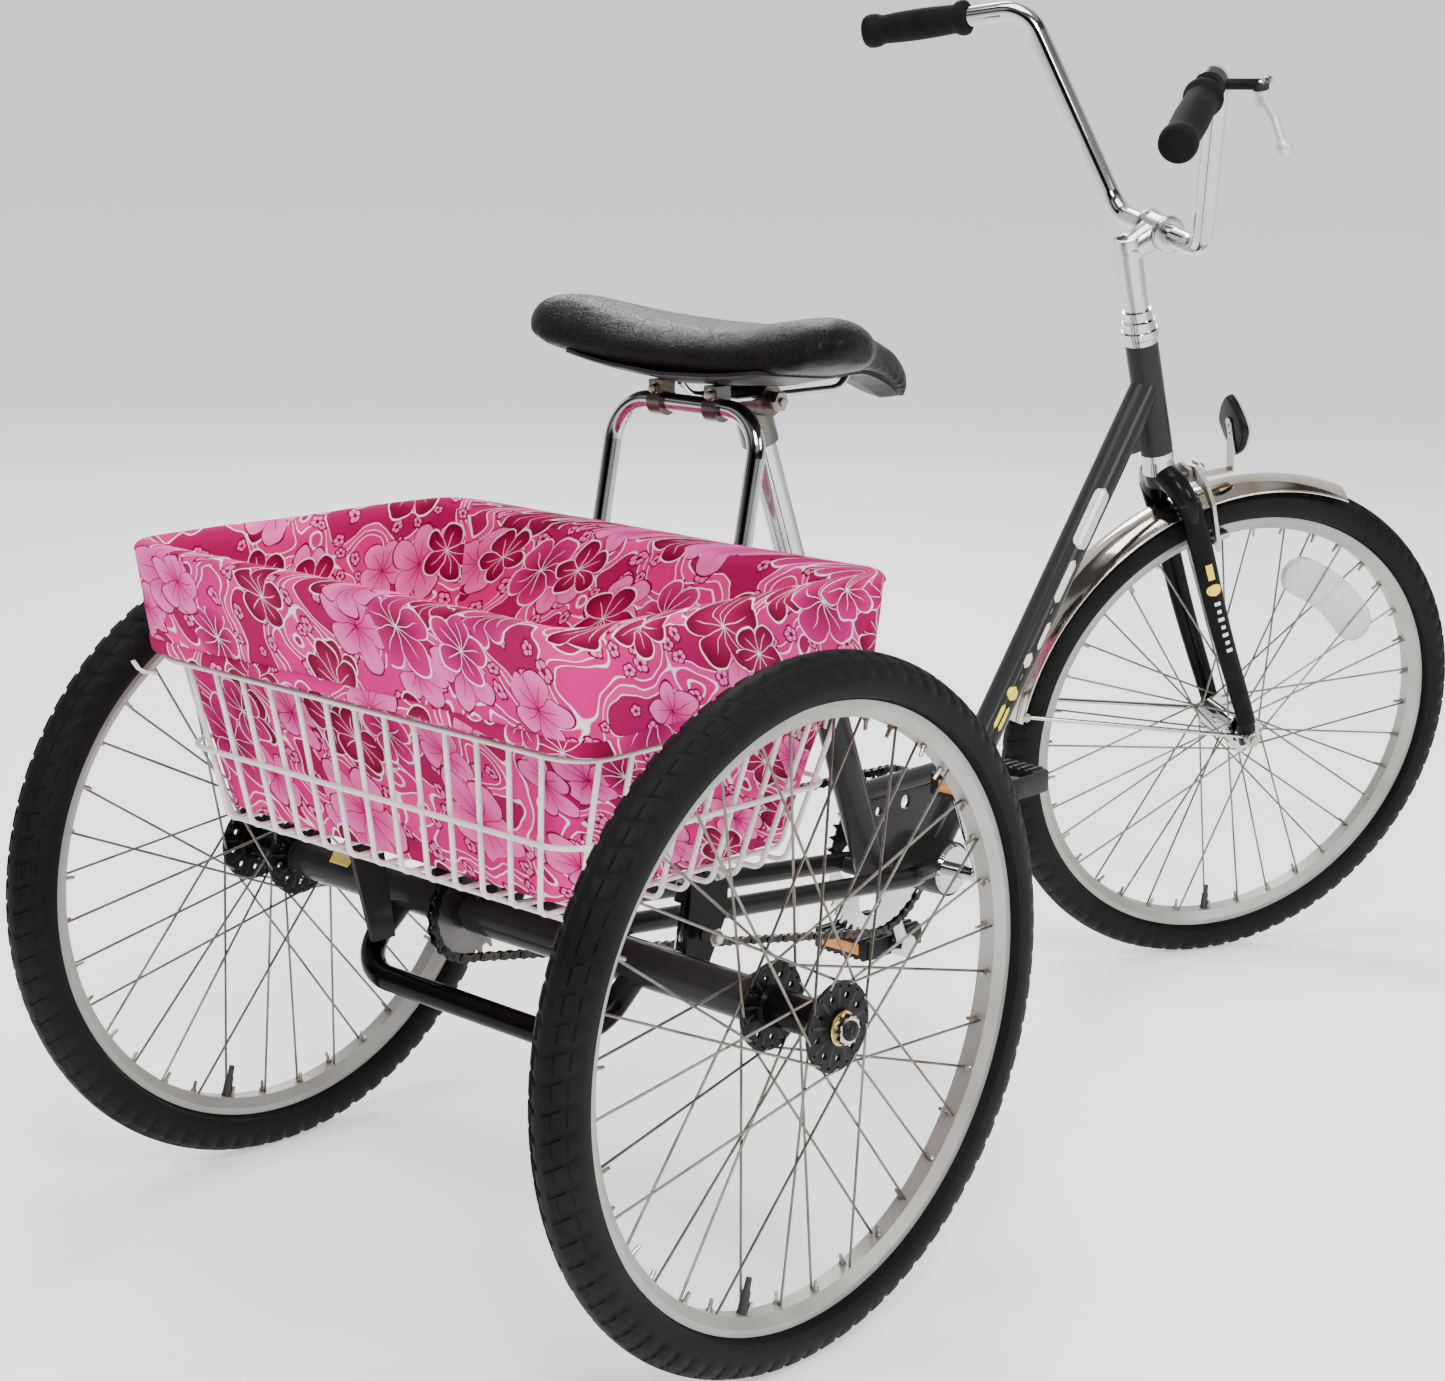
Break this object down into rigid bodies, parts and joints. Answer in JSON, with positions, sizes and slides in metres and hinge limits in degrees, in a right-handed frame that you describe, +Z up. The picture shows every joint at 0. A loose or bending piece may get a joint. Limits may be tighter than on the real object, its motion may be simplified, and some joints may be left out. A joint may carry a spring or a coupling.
{
  "type": "adult tricycle",
  "caption": "Three-wheeled adult cycle with a wide saddle, rising handlebar, chain drive to one rear wheel and a lined wire basket over the rear axle.",
  "frame": {"origin": "on the ground under the middle of the whole tricycle, in its vertical plane of symmetry", "axes": "+X towards the front wheel, +Y to the rider's left, +Z up"},
  "size_m": [1.7161, 0.7733, 1.121],
  "materials": {
    "axle_steel": "plated steel",
    "basket_wire": "white plastic coated wire",
    "bracket_paint": "black enamel",
    "chain_black": "blackened, oiled",
    "chrome": "mirror plating",
    "drive_steel": "oiled steel",
    "frame_paint": "gloss black enamel",
    "grip_foam": "ribbed black grip",
    "hub_black": "gloss black",
    "liner_cloth": "printed cotton, padded",
    "pad_rubber": "black brake rubber",
    "pedal_black": "moulded black",
    "reflector_body": "black housing, clear lens",
    "rim": "satin alloy",
    "saddle_shell": "black",
    "saddle_vinyl": "grained black vinyl",
    "spoke": "drawn steel",
    "stem_alloy": "cast and polished",
    "tyre": "moulded tread, satin",
    "zinc": "zinc plated"
  },
  "bodies": {
    "frame": {"axle_carrier": "frame_paint", "axle_bearings": "frame_paint", "stub_axle": "axle_steel", "bracket_shell": "frame_paint", "bracket_cups": "chrome", "down_tube": "frame_paint", "head_tube": "frame_paint", "seat_tube": "frame_paint", "seat_collar": "frame_paint", "frame_braces": "frame_paint", "gusset_plates": "frame_paint", "chain_stays": "frame_paint", "step_bar": "frame_paint", "basket_brackets": "bracket_paint", "basket_rings": "basket_wire", "basket_wires": "basket_wire", "basket_liner": "liner_cloth", "headset_cups": "chrome", "chain": "chain_black"},
    "drive": {"drive_axle": "axle_steel", "rear_sprocket": "drive_steel", "right_tyre": "tyre", "right_rim": "rim", "right_hub": "hub_black", "right_spokes": "spoke"},
    "left_wheel": {"left_tyre": "tyre", "left_rim": "rim", "left_hub": "hub_black", "left_spokes": "spoke"},
    "front_wheel": {"front_tyre": "tyre", "front_rim": "rim", "front_hub": "chrome", "front_spokes": "spoke"},
    "steering": {"fork_crown": "frame_paint", "fork_blades": "frame_paint", "headset_nuts": "chrome", "stem": "stem_alloy", "stem_bolts": "zinc", "handlebar": "chrome", "grips": "grip_foam", "fender": "chrome", "fender_stays": "chrome", "reflector_arm": "zinc", "reflector": "reflector_body", "front_axle": "axle_steel", "lever_perch": "pedal_black"},
    "brake_lever": {"brake_lever": "stem_alloy"},
    "left_caliper": {"left_caliper_arm": "zinc", "left_brake_pad": "pad_rubber"},
    "right_caliper": {"right_caliper_arm": "zinc", "right_brake_pad": "pad_rubber"},
    "cranks": {"crank": "chrome", "chainring": "chrome"},
    "left_pedal": {"left_pedal": "pedal_black"},
    "right_pedal": {"right_pedal": "pedal_black"},
    "seat": {"seat_post": "chrome", "saddle_clamp": "zinc", "saddle_frame": "saddle_shell", "saddle_pad": "saddle_vinyl"},
    "strut": {"seat_strut": "chrome"}
  },
  "joints": [
    {"name": "steering_turn", "type": "hinge", "parent": "frame", "child": "steering", "pos_m": [0.40985, 0, 0.68804], "axis": [-0.3289, 0, 0.9444], "range_deg": [-22, 77]},
    {"name": "front_wheel_spin", "type": "hinge", "parent": "steering", "child": "front_wheel", "pos_m": [0.58805, -0.02045, 0.29477], "axis": [0.439, 0.8854, 0.1529], "continuous": true},
    {"name": "left_wheel_spin", "type": "hinge", "parent": "frame", "child": "left_wheel", "pos_m": [-0.56019, 0.3335, 0.298], "axis": [0, 1, 0], "continuous": true},
    {"name": "right_wheel_spin", "type": "hinge", "parent": "frame", "child": "drive", "pos_m": [-0.56019, -0.3335, 0.298], "axis": [0, 1, 0], "continuous": true},
    {"name": "crank_spin", "type": "hinge", "parent": "frame", "child": "cranks", "pos_m": [0.03181, 0, 0.232], "axis": [0, 1, 0], "continuous": true},
    {"name": "left_pedal_spin", "type": "hinge", "parent": "cranks", "child": "left_pedal", "pos_m": [0.09446, 0.0745, 0.10904], "axis": [0, 1, 0], "continuous": true},
    {"name": "right_pedal_spin", "type": "hinge", "parent": "cranks", "child": "right_pedal", "pos_m": [-0.03084, -0.0745, 0.35496], "axis": [0, 1, 0], "continuous": true},
    {"name": "brake_lever_squeeze", "type": "hinge", "parent": "steering", "child": "brake_lever", "pos_m": [0.20256, -0.24297, 1.02248], "axis": [0.3289, 0, -0.9444], "range_deg": [0, 20], "stiffness_Nm_per_rad": 1, "springref_deg": -11.46},
    {"name": "left_caliper_close", "type": "hinge", "parent": "steering", "child": "left_caliper", "pos_m": [0.44273, 0, 0.59361], "axis": [-0.8361, 0.4648, -0.2912], "range_deg": [0, 0.75]},
    {"name": "right_caliper_close", "type": "hinge", "parent": "steering", "child": "right_caliper", "pos_m": [0.44273, 0, 0.59361], "axis": [0.8361, -0.4648, 0.2912], "range_deg": [0, 0.75]},
    {"name": "seat_height", "type": "slide", "parent": "frame", "child": "seat", "axis": [-0.3811, 0, 0.9245], "range_m": [-0.05, 0]},
    {"name": "strut_swing", "type": "hinge", "parent": "seat", "child": "strut", "pos_m": [-0.34719, 0, 0.742], "axis": [0, 1, 0], "range_deg": [0, 4.2]}
  ],
  "couplings": [
    {"joint": "crank_spin", "follows": "right_wheel_spin", "ratio": 0.5},
    {"joint": "left_caliper_close", "follows": "brake_lever_squeeze", "ratio": 0.035},
    {"joint": "right_caliper_close", "follows": "brake_lever_squeeze", "ratio": 0.035},
    {"joint": "strut_swing", "follows": "seat_height", "rad_per_m": -1.375}
  ]
}
